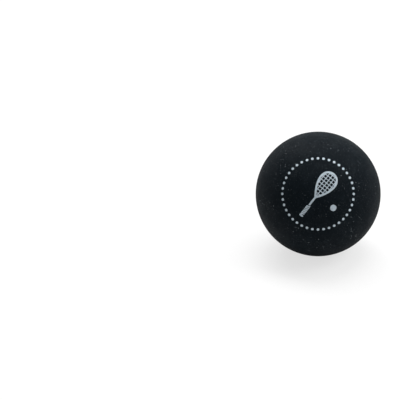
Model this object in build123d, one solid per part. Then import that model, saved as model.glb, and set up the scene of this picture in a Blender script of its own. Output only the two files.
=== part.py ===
from build123d import *

import os
from math import asin, degrees

# Squash ball: two rubber cups from one mould, bonded rim to rim round a sealed air chamber.
# The origin is the ball's centre, +Z is up, and Y is the mould axis.
# The front cup faces -Y and the rear cup faces +Y, so the seam is an upright ring in the XZ plane.

# Driving dimensions, in millimetres
BALL_DIAMETER = 40.0  # over the buffed rubber
WALL = 5.2  # rubber between the surface and the air chamber
BOND_THICKNESS = 0.12  # cured rubber solution between the two rims
BOND_RECESS = 0.05  # depth of the bond line below the rubber's surface, which shows as a hairline
BEAD_SPREAD = 0.9  # squeezed-out solution along the chamber wall, each way from the seam
BEAD_HEIGHT = 0.3  # how far that bead stands into the chamber
DOT_DIAMETER = 4.9  # each printed speed dot
DOT_GAP = 1.0  # bare rubber between the two dots
INK_THICKNESS = 0.05  # printed film on the rubber

# Derived sizes
OUTER_RADIUS = BALL_DIAMETER / 2
CHAMBER_RADIUS = OUTER_RADIUS - WALL
RIM_HEIGHT = BOND_THICKNESS / 2  # each rim stops this far short of the seam plane
DOT_HALF_ANGLE = degrees(asin(DOT_DIAMETER / 2 / OUTER_RADIUS))
DOT_TURN = DOT_HALF_ANGLE + degrees(DOT_GAP / 2 / OUTER_RADIUS)  # from the rear pole to a dot's centre


def rim_angle(radius):
    """Degrees from the seam plane up to the rim, on a circle about the ball's centre."""
    return degrees(asin(RIM_HEIGHT / radius))


def arc_to_pole(radius):
    """A circle about the ball's centre, from the rim up to the mould axis."""
    return CenterArc((0, 0), radius, rim_angle(radius), 90 - rim_angle(radius))


def rear_cup():
    """A hemispherical cup of even wall, with a flat rim for the bond."""
    outside = arc_to_pole(OUTER_RADIUS)
    chamber = arc_to_pole(CHAMBER_RADIUS)
    crown = Line(outside @ 1, chamber @ 1)
    rim = Line(chamber @ 0, outside @ 0)
    return revolve(make_face(outside + crown + chamber + rim), axis=Axis.Y)


def seam_bond():
    """The film between the two rims, with the rounded bead that it leaves on the chamber wall."""
    bead_angle = degrees(BEAD_SPREAD / CHAMBER_RADIUS)
    film_end = OUTER_RADIUS - BOND_RECESS
    start = rim_angle(CHAMBER_RADIUS)
    wall_contact = CenterArc((0, 0), CHAMBER_RADIUS, start, bead_angle - start)
    film_face = Line((film_end, RIM_HEIGHT), wall_contact @ 0)
    bead_end = wall_contact @ 1
    crest = ThreePointArc(bead_end, (CHAMBER_RADIUS - BEAD_HEIGHT, 0), (bead_end.X, -bead_end.Y))
    film_edge = Line((film_end, -RIM_HEIGHT), (film_end, RIM_HEIGHT))
    rear_side = film_face + wall_contact
    front_side = mirror(rear_side, about=Plane.XZ)
    return revolve(make_face(rear_side + crest + front_side + film_edge), axis=Axis.Y)


def speed_dot():
    """A disc of ink on the rear pole. It follows the rubber's curve, its edge square to the surface."""
    underside = CenterArc((0, 0), OUTER_RADIUS, 90 - DOT_HALF_ANGLE, DOT_HALF_ANGLE)
    face = CenterArc((0, 0), OUTER_RADIUS + INK_THICKNESS, 90 - DOT_HALF_ANGLE, DOT_HALF_ANGLE)
    edge = Line(underside @ 0, face @ 0)
    middle = Line(underside @ 1, face @ 1)
    return revolve(make_face(underside + middle + face + edge), axis=Axis.Y)


def main():
    """One file for each piece. The dots are left and right as seen from behind the ball."""
    cup = rear_cup()
    dot = speed_dot()
    nodes = {
        "front_half_shell": Rot(Z=180) * cup,
        "rear_half_shell": cup,
        "seam_bond": seam_bond(),
        "speed_dot_left": Rot(Z=-DOT_TURN) * dot,
        "speed_dot_right": Rot(Z=DOT_TURN) * dot,
    }
    os.makedirs("parts", exist_ok=True)
    for name, solid in nodes.items():
        export_step(solid, f"parts/{name}.step")


main()
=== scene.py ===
import math

import bmesh
import bpy
from mathutils import Matrix, Vector, noise


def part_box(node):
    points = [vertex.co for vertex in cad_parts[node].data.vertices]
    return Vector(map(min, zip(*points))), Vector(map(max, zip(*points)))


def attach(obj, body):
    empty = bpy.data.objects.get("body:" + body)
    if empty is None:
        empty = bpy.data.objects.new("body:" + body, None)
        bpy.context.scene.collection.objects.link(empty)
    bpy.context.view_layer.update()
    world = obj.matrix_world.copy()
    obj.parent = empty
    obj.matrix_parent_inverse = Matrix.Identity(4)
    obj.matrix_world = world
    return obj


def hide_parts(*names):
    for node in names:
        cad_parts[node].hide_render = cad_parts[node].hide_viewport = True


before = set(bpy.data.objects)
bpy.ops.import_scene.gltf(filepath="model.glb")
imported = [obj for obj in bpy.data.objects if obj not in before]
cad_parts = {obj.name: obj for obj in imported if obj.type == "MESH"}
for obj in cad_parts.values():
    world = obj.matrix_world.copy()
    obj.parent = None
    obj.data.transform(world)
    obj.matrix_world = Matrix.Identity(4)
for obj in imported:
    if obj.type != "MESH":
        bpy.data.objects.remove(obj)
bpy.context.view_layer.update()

# The ball, in metres
SHELL_LOW, SHELL_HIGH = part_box("rear_half_shell")
RADIUS = SHELL_HIGH.x
RIM_HEIGHT = SHELL_LOW.y  # each rim stops this far short of the seam plane
WALL = 0.0052
CHAMBER_RADIUS = RADIUS - WALL
RIM_ROUND = 0.00005  # edge radius that buffing leaves on the outer rims
BUFF_LEAST = 0.000008  # what the buffing takes off the moulded sphere
BUFF_MOST = 0.000028
BUFF_WAVES = (0.0055, 0.0018)  # lengths of the faint waves it leaves

# The speed dots on the back
DOT_RADIUS = 0.00245
DOT_GAP = 0.001
DOT_INK = 0.00004  # upper limit of a dot's height over the moulded sphere
DOT_WAVER = 0.012  # how uneven the outline is, as a share of the radius
DOT_WAVES = 700  # of that unevenness in a metre
DOT_SEED = 10  # sets the outline of one dot apart from the other's
DOT_BODY = 0.75  # share of that limit that the whole dot has, while its lip adds the rest
DOT_FALL = 10  # the power by which the film runs out towards its edge
DOT_LIP = 0.88  # where the lip is fullest, as a share of the radius
DOT_LIP_WIDTH = 0.07

# The mark printed on the front: a plain racket and ball in a ring of dots
INK_DEPTH = 0.00006  # thickness of every film of ink, whose edges reach under the buffed rubber
INK_DROP = 0.000001  # the print's face lies this far under the moulded sphere, proud of the buffed rubber
INK_TOP = RADIUS - INK_DROP
INK_WAVER = 0.000025  # how far the grain of the rubber draws the ink's edges out of true
INK_WAVER_LAYERS = (0.5, 9.5)  # where the noise is read for the waver sideways and upwards
RING_RADIUS = 0.0117
RING_DOTS = 40
RING_DOT_RADIUS = 0.00044
RACKET_TURN = math.radians(-38)
RACKET_TOP = 0.0083  # heights on the racket are from the ring's centre, before the racket is turned
HEAD_LENGTH = 0.0101  # to the point of the throat
HEAD_WIDTH = 0.006
HEAD_FULLNESS = 4 / math.sqrt(27)  # half the width of a circle tapered to a point, as a share of its radius
THROAT_SLOPE = HEAD_WIDTH / HEAD_LENGTH / HEAD_FULLNESS  # half the width over the height above that point
FRAME_WIDTH = 0.00062
STRING_PITCH = 0.00104
STRING_WIDTH = 0.00024
STRING_SINK = 0.000002  # the strings lie this far under the frame that they run into
STRING_WELD = STRING_WIDTH / 10  # corners of the cut strings that are closer than this are joined
SHAFT_WIDTH = 0.0006
SHAFT_END = -0.0044
GRIP_TOP = -0.0047
GRIP_WIDTH = 0.0012
GRIP_TURNS = 6  # of tape, each with a bare line below it
GRIP_TURN = 0.0006
GRIP_TAPE = 0.00048
GRIP_SLANT = 0.35
BUTT_SIZE = (0.00144, 0.0007)
BALL_MARK_RADIUS = 0.001
BALL_MARK_PLACE = (0.0048, -0.0044)

# Facets
AROUND = 288
OUTSIDE_STEPS = 104
CHAMBER_STEPS = 28
RIM_STEPS = 4
POLE_WELD = 1e-7  # corners of a spun shell that are closer than this are joined
SHARP_ANGLE = math.radians(50)  # faces that meet at more than this keep a sharp edge
INK_FACET = 0.0004
HEAD_SIDES = 96
STRING_CUT_STEP = 3  # the strings are cut along every third corner of the head's outline
TAPE_CELLS = (4, 2)
BUTT_SIDES = 32
BALL_MARK_SIDES = 40
RING_DOT_SIDES = 24
DOT_SIDES = 96
DOT_RINGS = 9

# The photograph's camera, from pixels of its 400 by 400 frame
IMAGE_SIDE = 400
FOCAL_PIXELS = 1546.8
BALL_PIXEL = (317.97, 193.93)
BALL_PIXEL_RADIUS = 62.2
VIEW_ELEVATION = math.radians(26.8)  # of the line from the ball to the camera
VIEW_DISTANCE = 0.4974
SENSOR = 36.0  # millimetres
TOWARDS_CAMERA = Vector((0, -math.cos(VIEW_ELEVATION), math.sin(VIEW_ELEVATION)))
CAMERA_UP = Vector((0, math.sin(VIEW_ELEVATION), math.cos(VIEW_ELEVATION)))
CAMERA_RIGHT = Vector((1, 0, 0))

# Marks of play that the photograph shows: both ends in its pixels, and the width in metres
SCUFFS = [
    ((345.5, 192.5), (349.5, 203), 0.00012),
    ((341, 185), (346, 194), 0.0001),
    ((349, 224), (351.5, 231), 0.00014),
    ((351.5, 231), (350, 238), 0.00012),
    ((357, 216), (360, 219), 0.00018),
    ((356, 162), (361, 166), 0.00014),
    ((292, 237), (300, 241), 0.0001),
    ((303, 238), (311, 244), 0.0001),
    ((308, 248.5), (310.5, 250.5), 0.00016),
    ((322, 242), (324, 248), 0.0001),
    ((263, 203), (266, 204.5), 0.00018),
    ((270, 201), (275, 209), 0.00012),
]

# Where dust and small nicks gather, as soft wide strokes in the same terms
WORN_PLACES = [
    ((292, 238), (324, 246), 0.0045),
    ((344, 168), (362, 188), 0.0048),
    ((322, 143), (346, 148), 0.004),
    ((346, 226), (352, 236), 0.0035),
    ((262, 203), (274, 207), 0.003),
    ((280, 172), (297, 175), 0.003),
]

# Sizes in the rubber's finish, in metres
RUBBER_CLOUD = 0.011
RUBBER_SHEEN = 0.004  # patches that are more and less matt
BLOOM_PATCH = 0.0022
GRAIN = 0.00028
GRAIN_DEPTH = 0.00008
DUST_PATCH = 0.007
DUST = (0.00078, 0.00015)  # the spacing of the specks and the radius of the largest
FINE_DUST = (0.00042, 0.00015)
PITS = (0.00033, 0.0001)
SPECK_RAGGED = (0.0003, 0.00016)  # the size of the specks' ragged edges and how far they stray
SCUFF_BEND = (0.0012, 0.00045)  # the same for the bends of the scuffs
SCUFF_BREAK = 0.0005  # patches that break the scuffs up
SPECK_CORE = 0.6  # share of a speck's radius that is at full strength
SPECK_FADE = 2.0  # the power by which most specks are faint
SCUFF_CORE = 0.3  # share of a scuff's width that is at full strength

# Sizes in the inks' finish
INK_CLOUD = 0.0011
INK_SHEEN = 0.0008
INK_GRAIN = 0.00022
INK_GRAIN_DEPTH = 0.00002
PINHOLES = (0.0005, 0.00013)

# Sizes in the bond's finish
BOND_CLOUD = 0.0012
BOND_SHEEN = 0.0015
BOND_GRAIN = 0.0004
BOND_GRAIN_DEPTH = 0.00003
BOND_DUST = (0.0004, 0.00012)
BOND_RAGGED = (0.0003, 0.00012)

# The studio, in metres
FLOOR_SIDE = 6.0
FLOOR_CLOUD = 0.3  # faint patches in its tone
FLOOR_GLOW = 0.84  # share of plain white in the floor that is seen, which leaves a light shadow
FOOT_GLOW = 0.68  # that share under the ball, for the camera, while gloss sees the whole shadow there
FOOT_REACH = 2 * RADIUS  # where the one share has become the other
FAR_FLOOR = (0.1, 0.5)  # between these distances from the ball the floor turns plain white
AMBIENT = 0.08  # strength of the even light from all round

# Softboxes: degrees round the ball from its front towards its right, degrees up, distance, side and watts
SOFTBOXES = {
    "overhead": (155, 72, 0.9, 0.6, 7.0),
    "back_left": (214, 54, 0.9, 0.5, 4.0),
    "right": (86, 44, 0.9, 0.5, 4.2),
}


def srgb(red, green, blue):
    """A colour written as it looks on screen, 0 to 255, for a shader."""
    def channel(value):
        value /= 255
        return value / 12.92 if value <= 0.04045 else ((value + 0.055) / 1.055) ** 2.4
    return (channel(red), channel(green), channel(blue), 1.0)


# Colours of the rubber
RUBBER_DARK = srgb(3, 12, 17)
RUBBER_PLAIN = srgb(8, 13, 18)
BLOOM_COLOUR = srgb(20, 27, 32)
GRAIN_COLOUR = srgb(31, 39, 45)
SCUFF_COLOUR = srgb(92, 98, 102)
DUST_COLOUR = srgb(132, 138, 142)
# painted shade: the dark colour laid in the small pits of the rubber
PIT_SHADE_COLOUR = srgb(2, 4, 6)

# Colours of the bond
BOND_DARK = srgb(2, 6, 9)
BOND_PLAIN = srgb(9, 13, 16)
BOND_DUST_COLOUR = srgb(62, 67, 70)

# Colours of the inks
PALE_INK = srgb(188, 201, 209)
PALE_INK_THIN = srgb(164, 178, 188)
YELLOW_INK = srgb(232, 196, 40)
YELLOW_INK_THIN = srgb(206, 168, 30)
DOT_EDGE_COLOUR = srgb(40, 38, 30)
PINHOLE_COLOUR = srgb(30, 33, 36)
INK_GRAIN_COLOUR = srgb(60, 64, 66)

# Colours of the studio
WHITE = (1, 1, 1, 1)
FLOOR_DULL = srgb(246, 246, 246)
FLOOR_BRIGHT = srgb(249, 249, 249)


def on_ball(pixel):
    """The point of the ball that the photograph shows at a pixel, with its rays taken as parallel."""
    right = (pixel[0] - BALL_PIXEL[0]) / BALL_PIXEL_RADIUS
    up = (BALL_PIXEL[1] - pixel[1]) / BALL_PIXEL_RADIUS
    out = math.sqrt(max(0.0, 1 - right * right - up * up))
    return (CAMERA_RIGHT * right + CAMERA_UP * up + TOWARDS_CAMERA * out) * RADIUS


def finish_piece(bm, name, material, slot, *nodes):
    """Makes the mesh an object that rides on the ball and stands for the CAD nodes."""
    mesh = bpy.data.meshes.new(name)
    bm.to_mesh(mesh)
    bm.free()
    mesh.shade_smooth()
    mesh.set_sharp_from_angle(angle=SHARP_ANGLE)
    mesh.materials.append(material)
    piece = bpy.data.objects.new(name, mesh)
    bpy.context.scene.collection.objects.link(piece)
    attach(piece, "root")
    if nodes:
        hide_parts(*nodes)


# Node helpers
def add(tree, kind, inputs=None, **settings):
    """Adds a node. Each input is a constant or another node's output."""
    made = tree.nodes.new(kind)
    for key, value in settings.items():
        setattr(made, key, value)
    for socket, value in (inputs or {}).items():
        if isinstance(value, bpy.types.NodeSocket):
            tree.links.new(value, made.inputs[socket])
        else:
            made.inputs[socket].default_value = value
    return made


def new_material(name):
    """A material with its own shader, and the Object coordinates that its patterns read."""
    material = bpy.data.materials.new(name)
    material.use_nodes = True
    tree = material.node_tree
    place = add(tree, "ShaderNodeTexCoord").outputs["Object"]
    return material, tree, tree.nodes["Principled BSDF"], place


def cloud(tree, place, size, detail=2.0, roughness=0.5):
    """Soft random patches about this many metres across, from 0 to 1."""
    inputs = {"Vector": place, "Scale": 1 / size, "Detail": detail, "Roughness": roughness}
    return add(tree, "ShaderNodeTexNoise", inputs).outputs["Fac"]


def ramp(tree, value, low, high, to_low=0.0, to_high=1.0):
    """Takes a value from one range to another, smoothly, and holds it at the ends."""
    inputs = {"Value": value, "From Min": low, "From Max": high, "To Min": to_low, "To Max": to_high}
    return add(tree, "ShaderNodeMapRange", inputs, interpolation_type="SMOOTHSTEP").outputs["Result"]


def calculate(tree, operation, a, b):
    """Arithmetic on two numbers."""
    return add(tree, "ShaderNodeMath", {0: a, 1: b}, operation=operation).outputs["Value"]


def vector(tree, operation, a, b, output="Vector"):
    """Arithmetic on two places or directions."""
    return add(tree, "ShaderNodeVectorMath", {0: a, 1: b}, operation=operation).outputs[output]


def stretch(tree, direction, factor):
    """A direction made longer or shorter."""
    inputs = {0: direction, "Scale": factor}
    return add(tree, "ShaderNodeVectorMath", inputs, operation="SCALE").outputs["Vector"]


def tint(tree, share, under, over):
    """Lays one colour over another by a share from 0 to 1."""
    inputs = {"Factor": share, "A": under, "B": over}
    return add(tree, "ShaderNodeMix", inputs, data_type="RGBA").outputs["Result"]


def specks(tree, place, spacing, radius, share):
    """Round specks scattered in space, so that the surface cuts them at many sizes, some faint."""
    cells = add(tree, "ShaderNodeTexVoronoi", {"Vector": place, "Scale": 1 / spacing})
    size = radius / spacing
    body = ramp(tree, cells.outputs["Distance"], size, SPECK_CORE * size)
    lot = add(tree, "ShaderNodeSeparateColor", {"Color": cells.outputs["Color"]})
    chosen = calculate(tree, "LESS_THAN", lot.outputs["Red"], share)
    strength = calculate(tree, "POWER", lot.outputs["Green"], SPECK_FADE)
    return calculate(tree, "MULTIPLY", calculate(tree, "MULTIPLY", body, chosen), strength)


def wander(tree, place, size, reach):
    """The same place, moved a little to and fro, so that a pattern read there has ragged outlines."""
    inputs = {"Vector": place, "Scale": 1 / size, "Detail": 2.0}
    field = add(tree, "ShaderNodeTexNoise", inputs).outputs["Color"]
    shift = vector(tree, "SUBTRACT", field, (0.5, 0.5, 0.5))
    return vector(tree, "ADD", place, stretch(tree, shift, 2 * reach))


def scuff(tree, place, start, end, width):
    """1 along a line between two points, fading to 0 at its width from it."""
    line = end - start
    from_start = vector(tree, "SUBTRACT", place, start)
    along = vector(tree, "DOT_PRODUCT", from_start, line / line.length_squared, "Value")
    along = add(tree, "ShaderNodeClamp", {"Value": along}).outputs["Result"]
    gap = vector(tree, "DISTANCE", from_start, stretch(tree, line, along), "Value")
    return ramp(tree, gap, width, SCUFF_CORE * width)


def bump(tree, shader, height, strength, depth):
    """Fine relief, for light only."""
    inputs = {"Height": height, "Strength": strength, "Distance": depth}
    relief = add(tree, "ShaderNodeBump", inputs)
    tree.links.new(relief.outputs["Normal"], shader.inputs["Normal"])


# Materials
def rubber_material():
    """Matt black rubber: buffing grain, cloudy bloom, pale dust, the scuffs of play, and painted shade in
    its small pits.
    """
    material, tree, shader, place = new_material("buffed_rubber")
    tone = tint(tree, cloud(tree, place, RUBBER_CLOUD, detail=3), RUBBER_DARK, RUBBER_PLAIN)
    bloom = ramp(tree, cloud(tree, place, BLOOM_PATCH, detail=5, roughness=0.7), 0.42, 0.75, 0.0, 0.5)
    tone = tint(tree, bloom, tone, BLOOM_COLOUR)
    grain = cloud(tree, place, GRAIN, detail=4, roughness=0.65)
    tone = tint(tree, ramp(tree, grain, 0.52, 0.75, 0.0, 0.6), tone, GRAIN_COLOUR)

    crowd = ramp(tree, cloud(tree, place, DUST_PATCH, detail=3), 0.45, 0.65, 0.0, 0.6)
    for start, end, width in WORN_PLACES:
        stroke = scuff(tree, place, on_ball(start), on_ball(end), width)
        crowd = calculate(tree, "MAXIMUM", crowd, stroke)
    ragged = wander(tree, place, *SPECK_RAGGED)
    dust = specks(tree, ragged, *DUST, calculate(tree, "MULTIPLY", crowd, 0.6))
    fine = specks(tree, ragged, *FINE_DUST, ramp(tree, crowd, 0.0, 1.0, 0.45, 1.0))

    wandering = wander(tree, place, *SCUFF_BEND)
    worn = calculate(tree, "MULTIPLY", fine, 0.8)
    for start, end, width in SCUFFS:
        mark = scuff(tree, wandering, on_ball(start), on_ball(end), width)
        worn = calculate(tree, "MAXIMUM", worn, mark)
    broken = ramp(tree, cloud(tree, place, SCUFF_BREAK, detail=3), 0.3, 0.55)
    worn = calculate(tree, "MULTIPLY", worn, broken)
    tone = tint(tree, calculate(tree, "MULTIPLY", worn, 0.52), tone, SCUFF_COLOUR)
    tone = tint(tree, dust, tone, DUST_COLOUR)

    # The pits sink in the relief and are also darkened in colour, which is painted shade.
    pits = specks(tree, ragged, *PITS, 0.7)
    tone = tint(tree, calculate(tree, "MULTIPLY", pits, 0.6), tone, PIT_SHADE_COLOUR)
    tree.links.new(tone, shader.inputs["Base Color"])
    rough = ramp(tree, cloud(tree, place, RUBBER_SHEEN, detail=4), 0.3, 0.7, 0.62, 0.72)
    tree.links.new(rough, shader.inputs["Roughness"])
    bump(tree, shader, calculate(tree, "SUBTRACT", grain, pits), strength=0.9, depth=GRAIN_DEPTH)
    shader.inputs["Specular IOR Level"].default_value = 0.05
    return material


def ink_material(name, full, thin, centre=None):
    """A printed film of ink: cloudy, with pinholes where the grain shows, and thin at a dot's edge."""
    material, tree, shader, place = new_material(name)
    patches = cloud(tree, place, INK_CLOUD, detail=4, roughness=0.6)
    tone = tint(tree, ramp(tree, patches, 0.3, 0.75), full, thin)
    if centre is not None:
        reach = vector(tree, "DISTANCE", place, centre, "Value")
        edge = ramp(tree, reach, DOT_LIP * DOT_RADIUS, DOT_RADIUS, 0.0, 0.35)
        tone = tint(tree, edge, tone, DOT_EDGE_COLOUR)
    pinholes = specks(tree, place, *PINHOLES, 0.35)
    tone = tint(tree, pinholes, tone, PINHOLE_COLOUR)
    grain = cloud(tree, place, INK_GRAIN)
    tone = tint(tree, ramp(tree, grain, 0.6, 0.85, 0.0, 0.35), tone, INK_GRAIN_COLOUR)
    tree.links.new(tone, shader.inputs["Base Color"])
    rough = ramp(tree, cloud(tree, place, INK_SHEEN, detail=3), 0.3, 0.7, 0.48, 0.62)
    tree.links.new(rough, shader.inputs["Roughness"])
    bump(tree, shader, grain, strength=0.2, depth=INK_GRAIN_DEPTH)
    shader.inputs["Specular IOR Level"].default_value = 0.25
    return material


def bond_material():
    """The cured rubber solution in the seam, a little darker and shinier than the shells."""
    material, tree, shader, place = new_material("seam_solution")
    tone = tint(tree, cloud(tree, place, BOND_CLOUD, detail=4), BOND_DARK, BOND_PLAIN)
    dust = specks(tree, wander(tree, place, *BOND_RAGGED), *BOND_DUST, 0.5)
    tone = tint(tree, dust, tone, BOND_DUST_COLOUR)
    tree.links.new(tone, shader.inputs["Base Color"])
    rough = ramp(tree, cloud(tree, place, BOND_SHEEN, detail=3), 0.3, 0.7, 0.5, 0.65)
    tree.links.new(rough, shader.inputs["Roughness"])
    bump(tree, shader, cloud(tree, place, BOND_GRAIN, detail=3), strength=0.2, depth=BOND_GRAIN_DEPTH)
    shader.inputs["Specular IOR Level"].default_value = 0.06
    return material


# The rubber shells
def buffed(point):
    """The moulded sphere's point after buffing, which takes off a little more here and there."""
    share = 0.0
    for length in BUFF_WAVES:
        share += (0.5 + 0.5 * noise.noise(point / length)) / len(BUFF_WAVES)
    depth = BUFF_LEAST + (BUFF_MOST - BUFF_LEAST) * share
    return point * (1 - depth / RADIUS)


def half_shell(name, facing, material, node):
    """A rubber cup: its section is drawn from the pole to the rim and back up the chamber, then spun."""
    round_angle = math.asin((RIM_HEIGHT + RIM_ROUND) / (RADIUS - RIM_ROUND))
    round_centre = Vector((math.cos(round_angle), math.sin(round_angle), 0)) * (RADIUS - RIM_ROUND)
    chamber_angle = math.asin(RIM_HEIGHT / CHAMBER_RADIUS)
    chamber_rim = Vector((math.cos(chamber_angle), math.sin(chamber_angle), 0)) * CHAMBER_RADIUS
    right, up = Vector((0, 0, -1)), Vector((0, 0, 1))

    bm = bmesh.new()
    pole = bm.verts.new((0, RADIUS, 0))
    tip = [pole]
    arcs = [
        ((0, 0, 0), right, math.pi / 2 - round_angle, OUTSIDE_STEPS),
        (round_centre, right, math.pi / 2 + round_angle, RIM_STEPS),
    ]
    for centre, axis, angle, steps in arcs:
        tip = bmesh.ops.spin(bm, geom=tip, cent=centre, axis=axis, angle=angle, steps=steps)["geom_last"]
    corner = bmesh.ops.extrude_vert_indiv(bm, verts=tip)["verts"][0]
    corner.co = chamber_rim
    bmesh.ops.spin(bm, geom=[corner], cent=(0, 0, 0), axis=up, angle=math.pi / 2 - chamber_angle,
                   steps=CHAMBER_STEPS)
    section = bm.verts[:] + bm.edges[:]
    bmesh.ops.spin(bm, geom=section, cent=(0, 0, 0), axis=(0, 1, 0), angle=2 * math.pi, steps=AROUND,
                   use_merge=True)
    bmesh.ops.remove_doubles(bm, verts=bm.verts, dist=POLE_WELD)
    bmesh.ops.rotate(bm, verts=bm.verts, cent=(0, 0, 0), matrix=Matrix.Rotation(facing, 3, "Z"))
    bmesh.ops.recalc_face_normals(bm, faces=bm.faces)
    for vert in bm.verts:
        if vert.co.length > RADIUS - RIM_ROUND:
            vert.co = buffed(vert.co)
    finish_piece(bm, name, material, "rubber", node)


# Ink, drawn flat and then laid on the ball
def lay_on_ball(bm, right, up, surface):
    """x and y become distances along the ball from the point that the drawing faces, and z its height."""
    towards = right.cross(up)
    for vert in bm.verts:
        reach = math.hypot(vert.co.x, vert.co.y)
        direction = towards
        if reach > 0:
            along = (right * vert.co.x + up * vert.co.y) / reach
            direction = towards * math.cos(reach / RADIUS) + along * math.sin(reach / RADIUS)
        vert.co = direction * (surface + vert.co.z)


def disc(bm, place, size, segments):
    """A flat round or oval shape, with a vertex at its centre."""
    made = bmesh.ops.create_circle(bm, cap_ends=True, cap_tris=True, segments=segments, radius=0.5)["verts"]
    bmesh.ops.scale(bm, verts=made, vec=(*size, 1))
    bmesh.ops.translate(bm, verts=made, vec=(*place, 0))


def head_outline(bm, inset):
    """The outline of the racket's head, or one inside it: round at the top and pointed at the throat."""
    top = RACKET_TOP - inset
    point = RACKET_TOP - HEAD_LENGTH + inset / math.sin(math.atan(THROAT_SLOPE))
    outline = bmesh.ops.create_circle(bm, segments=HEAD_SIDES, radius=1)["verts"]
    for vert in outline:
        share = (1 + vert.co.y) / 2
        vert.co.x *= (HEAD_WIDTH / 2 - inset) * math.sqrt(max(0, share)) / HEAD_FULLNESS
        vert.co.y = point + (top - point) * share
    return outline


def cut(bm, point, outward):
    """Cuts a drawing along a line and drops what is outside. Returns the edges along the cut."""
    whole = bm.verts[:] + bm.edges[:] + bm.faces[:]
    made = bmesh.ops.bisect_plane(bm, geom=whole, plane_co=point, plane_no=outward, clear_outer=True)
    return [item for item in made["geom_cut"] if isinstance(item, bmesh.types.BMEdge)]


def racket():
    """The hoop of the head, drawn out into the shaft, then the turns of the grip and the butt."""
    bm = bmesh.new()
    for inset in (0, FRAME_WIDTH):
        head_outline(bm, inset)
    bmesh.ops.bridge_loops(bm, edges=bm.edges[:])
    neck = RACKET_TOP - HEAD_LENGTH + SHAFT_WIDTH / 2 / THROAT_SLOPE
    neck_edges = cut(bm, (0, neck, 0), (0, -1, 0))
    steps = math.ceil((neck - SHAFT_END) / INK_FACET)
    bmesh.ops.spin(bm, geom=neck_edges, cent=(0, 0, 0), axis=(0, 0, 1), angle=0, steps=steps,
                   dvec=(0, (SHAFT_END - neck) / steps, 0))
    columns, rows = TAPE_CELLS
    for number in range(GRIP_TURNS):
        tape = bmesh.ops.create_grid(bm, x_segments=columns, y_segments=rows, size=0.5)["verts"]
        bmesh.ops.scale(bm, verts=tape, vec=(GRIP_WIDTH, GRIP_TAPE, 1))
        for vert in tape:
            vert.co.y += GRIP_TOP - GRIP_TAPE / 2 - number * GRIP_TURN + GRIP_SLANT * vert.co.x
    butt_top = GRIP_TOP - GRIP_TURNS * GRIP_TURN
    disc(bm, (0, butt_top - BUTT_SIZE[1] / 2), BUTT_SIZE, BUTT_SIDES)
    return bm


def racket_strings():
    """A lattice cut to the head's outline, along the middle of the hoop."""
    bm = bmesh.new()
    outline = head_outline(bm, FRAME_WIDTH / 2)
    corners = [vert.co.copy() for vert in outline[::STRING_CUT_STEP]]
    bmesh.ops.delete(bm, geom=bm.verts[:], context="VERTS")
    across = 2 * math.ceil(HEAD_WIDTH / STRING_PITCH / 2)
    along = 2 * math.ceil(HEAD_LENGTH / STRING_PITCH / 2)
    cells = bmesh.ops.create_grid(bm, x_segments=across, y_segments=along, size=0.5)["verts"]
    bmesh.ops.scale(bm, verts=cells, vec=(across * STRING_PITCH, along * STRING_PITCH, 1))
    bmesh.ops.translate(bm, verts=cells, vec=(0, RACKET_TOP - HEAD_LENGTH / 2, 0))
    gaps = bm.faces[:]
    bmesh.ops.inset_individual(bm, faces=gaps, thickness=STRING_WIDTH / 2, use_even_offset=True)
    bmesh.ops.delete(bm, geom=gaps, context="FACES")
    for start, end in zip(corners, corners[1:] + corners[:1]):
        cut(bm, start, (end - start).cross(Vector((0, 0, 1))))
    bmesh.ops.remove_doubles(bm, verts=bm.verts, dist=STRING_WELD)
    return bm


def thicken(bm):
    """Gives a drawing, which becomes the film's face, its thickness."""
    bm.normal_update()
    for face in bm.faces:
        if face.normal.z < 0:
            face.normal_flip()
    bmesh.ops.solidify(bm, geom=bm.faces[:], thickness=INK_DEPTH)


def print_piece(bm, name, material, sunk=0.0):
    """Lays a drawing on the front of the ball, where it faces the camera."""
    sideways_layer, upwards_layer = INK_WAVER_LAYERS
    for vert in bm.verts:
        place = vert.co / INK_FACET
        sideways = noise.noise(place + Vector((0, 0, sideways_layer)))
        upwards = noise.noise(place + Vector((0, 0, upwards_layer)))
        vert.co += Vector((sideways, upwards, 0)) * INK_WAVER
    thicken(bm)
    lay_on_ball(bm, CAMERA_RIGHT, CAMERA_UP, INK_TOP - sunk)
    finish_piece(bm, name, material, "mark_ink")


def front_print(material):
    """The ring of dots, the racket with its strings, and the ball beside it."""
    ring = bmesh.new()
    for number in range(RING_DOTS):
        angle = 2 * math.pi * number / RING_DOTS
        place = (RING_RADIUS * math.sin(angle), RING_RADIUS * math.cos(angle))
        disc(ring, place, (2 * RING_DOT_RADIUS, 2 * RING_DOT_RADIUS), RING_DOT_SIDES)
    print_piece(ring, "print_ring", material)

    drawings = [
        ("print_racket", racket(), 0.0),
        ("print_strings", racket_strings(), STRING_SINK),
    ]
    for name, drawing, sunk in drawings:
        bmesh.ops.rotate(drawing, verts=drawing.verts, matrix=Matrix.Rotation(RACKET_TURN, 3, "Z"))
        print_piece(drawing, name, material, sunk)

    ball = bmesh.new()
    disc(ball, BALL_MARK_PLACE, (2 * BALL_MARK_RADIUS, 2 * BALL_MARK_RADIUS), BALL_MARK_SIDES)
    print_piece(ball, "print_ball", material)


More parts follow.
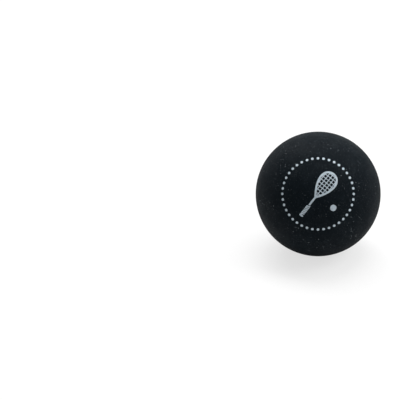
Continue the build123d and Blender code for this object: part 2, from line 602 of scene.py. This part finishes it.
def speed_dot(name, node):
    """A round dab of ink on the back, fullest inside its edge and not quite round."""
    low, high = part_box(node)
    side = math.copysign(1, low.x + high.x)
    angle = side * (DOT_RADIUS + DOT_GAP / 2) / RADIUS
    centre = Vector((math.sin(angle), math.cos(angle), 0))
    bm = bmesh.new()
    made = bmesh.ops.create_circle(bm, cap_ends=True, segments=DOT_SIDES, radius=DOT_RADIUS)["verts"]
    middle = made[0].link_faces[0]
    for _ in range(DOT_RINGS - 1):
        bmesh.ops.inset_region(bm, faces=[middle], thickness=DOT_RADIUS / DOT_RINGS, use_boundary=True,
                               use_even_offset=True)
    bmesh.ops.poke(bm, faces=[middle])
    for vert in bm.verts:
        share = vert.co.length / DOT_RADIUS
        waver = noise.noise(vert.co * DOT_WAVES + centre * DOT_SEED)
        lip = math.exp(-((share - DOT_LIP) / DOT_LIP_WIDTH) ** 2)
        vert.co *= 1 + DOT_WAVER * (waver - 1) * share
        vert.co.z = DOT_INK * (DOT_BODY * (1 - share ** DOT_FALL) + (1 - DOT_BODY) * lip)
    thicken(bm)
    up = Vector((0, 0, 1))
    lay_on_ball(bm, up.cross(centre), up, RADIUS)
    material = ink_material(name, YELLOW_INK, YELLOW_INK_THIN, centre * RADIUS)
    finish_piece(bm, name, material, "dot_ink", node)


# The floor, lamps, world and camera
def seen_directly(tree):
    """1 for what the camera sees, then 1 for what gloss and glass see. Both are 0 for light on things."""
    path = add(tree, "ShaderNodeLightPath")
    glossy, through = path.outputs["Is Glossy Ray"], path.outputs["Is Transmission Ray"]
    return path.outputs["Is Camera Ray"], calculate(tree, "MAXIMUM", glossy, through)


def floor():
    """A pale floor that keeps the ball's shadow and is plain white further out."""
    bm = bmesh.new()
    bmesh.ops.create_grid(bm, x_segments=1, y_segments=1, size=FLOOR_SIDE / 2)
    bmesh.ops.translate(bm, verts=bm.verts, vec=(0, 0, -RADIUS))
    mesh = bpy.data.meshes.new("floor")
    bm.to_mesh(mesh)
    bm.free()
    material, tree, shader, place = new_material("white_sweep")
    tone = tint(tree, cloud(tree, place, FLOOR_CLOUD), FLOOR_DULL, FLOOR_BRIGHT)
    tree.links.new(tone, shader.inputs["Base Color"])
    shader.inputs["Roughness"].default_value = 0.9
    shader.inputs["Specular IOR Level"].default_value = 0.1
    white = add(tree, "ShaderNodeEmission", {"Color": WHITE, "Strength": 1.0})
    reach = vector(tree, "DISTANCE", place, (0, 0, -RADIUS), "Value")
    seen, mirrored = seen_directly(tree)
    shown = calculate(tree, "MULTIPLY", seen, ramp(tree, reach, 0, FOOT_REACH, FOOT_GLOW, FLOOR_GLOW))
    glossy = calculate(tree, "MULTIPLY", mirrored, ramp(tree, reach, 0, FOOT_REACH, 0.0, FLOOR_GLOW))
    either = calculate(tree, "ADD", seen, mirrored)
    far = calculate(tree, "MULTIPLY", either, ramp(tree, reach, *FAR_FLOOR))
    share = calculate(tree, "MAXIMUM", calculate(tree, "ADD", shown, glossy), far)
    mixed = add(tree, "ShaderNodeMixShader",
                {0: share, 1: shader.outputs["BSDF"], 2: white.outputs["Emission"]})
    tree.links.new(mixed.outputs["Shader"], tree.nodes["Material Output"].inputs["Surface"])
    mesh.materials.append(material)
    made = bpy.data.objects.new("floor", mesh)
    bpy.context.scene.collection.objects.link(made)


def softbox(name, azimuth, elevation, distance, side, watts):
    """A square lamp that faces the ball, so many degrees round it from the front and above the floor."""
    turn, rise = math.radians(azimuth), math.radians(elevation)
    place = Vector((math.sin(turn) * math.cos(rise), -math.cos(turn) * math.cos(rise), math.sin(rise)))
    lamp = bpy.data.lights.new(name, "AREA")
    lamp.shape = "SQUARE"
    lamp.size = side
    lamp.energy = watts
    made = bpy.data.objects.new(name, lamp)
    made.location = place * distance
    made.rotation_euler = (-place).to_track_quat("-Z", "Y").to_euler()
    made.visible_camera = False
    bpy.context.scene.collection.objects.link(made)


def studio_world():
    """Even grey light, with a white room behind what the camera, gloss and glass see."""
    world = bpy.data.worlds.new("studio")
    bpy.context.scene.world = world
    world.use_nodes = True
    tree = world.node_tree
    tree.nodes.clear()
    ambient = add(tree, "ShaderNodeBackground", {"Color": WHITE, "Strength": AMBIENT})
    white = add(tree, "ShaderNodeBackground", {"Color": WHITE, "Strength": 1.0})
    share = calculate(tree, "MAXIMUM", *seen_directly(tree))
    shown = add(tree, "ShaderNodeMixShader",
                {0: share, 1: ambient.outputs["Background"], 2: white.outputs["Background"]})
    add(tree, "ShaderNodeOutputWorld", {"Surface": shown.outputs["Shader"]})


def camera():
    """Stands where the photograph was taken, turned so that the ball falls on its pixel."""
    half = IMAGE_SIDE / 2
    ball_ray = Vector((BALL_PIXEL[0] - half, half - BALL_PIXEL[1], -FOCAL_PIXELS))
    aim = (-TOWARDS_CAMERA).to_track_quat("-Z", "Y")
    turn = Vector((0, 0, -1)).rotation_difference(ball_ray)
    data = bpy.data.cameras.new("camera")
    data.sensor_width = SENSOR
    data.lens = SENSOR * FOCAL_PIXELS / IMAGE_SIDE
    made = bpy.data.objects.new("camera", data)
    made.location = TOWARDS_CAMERA * VIEW_DISTANCE
    made.rotation_mode = "QUATERNION"
    made.rotation_quaternion = aim @ turn.inverted()
    bpy.context.scene.collection.objects.link(made)
    bpy.context.scene.camera = made


# The ball's pieces
rubber = rubber_material()
half_shell("front_rubber", math.pi, rubber, "front_half_shell")
half_shell("rear_rubber", 0, rubber, "rear_half_shell")
front_print(ink_material("pale_ink", PALE_INK, PALE_INK_THIN))
speed_dot("left_dot_ink", "speed_dot_left")
speed_dot("right_dot_ink", "speed_dot_right")
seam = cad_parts["seam_bond"]
seam.data.materials.clear()
seam.data.materials.append(bond_material())

# The studio round it
floor()
for name, setting in SOFTBOXES.items():
    softbox(name, *setting)
studio_world()
camera()
bpy.context.scene.view_settings.view_transform = "Standard"
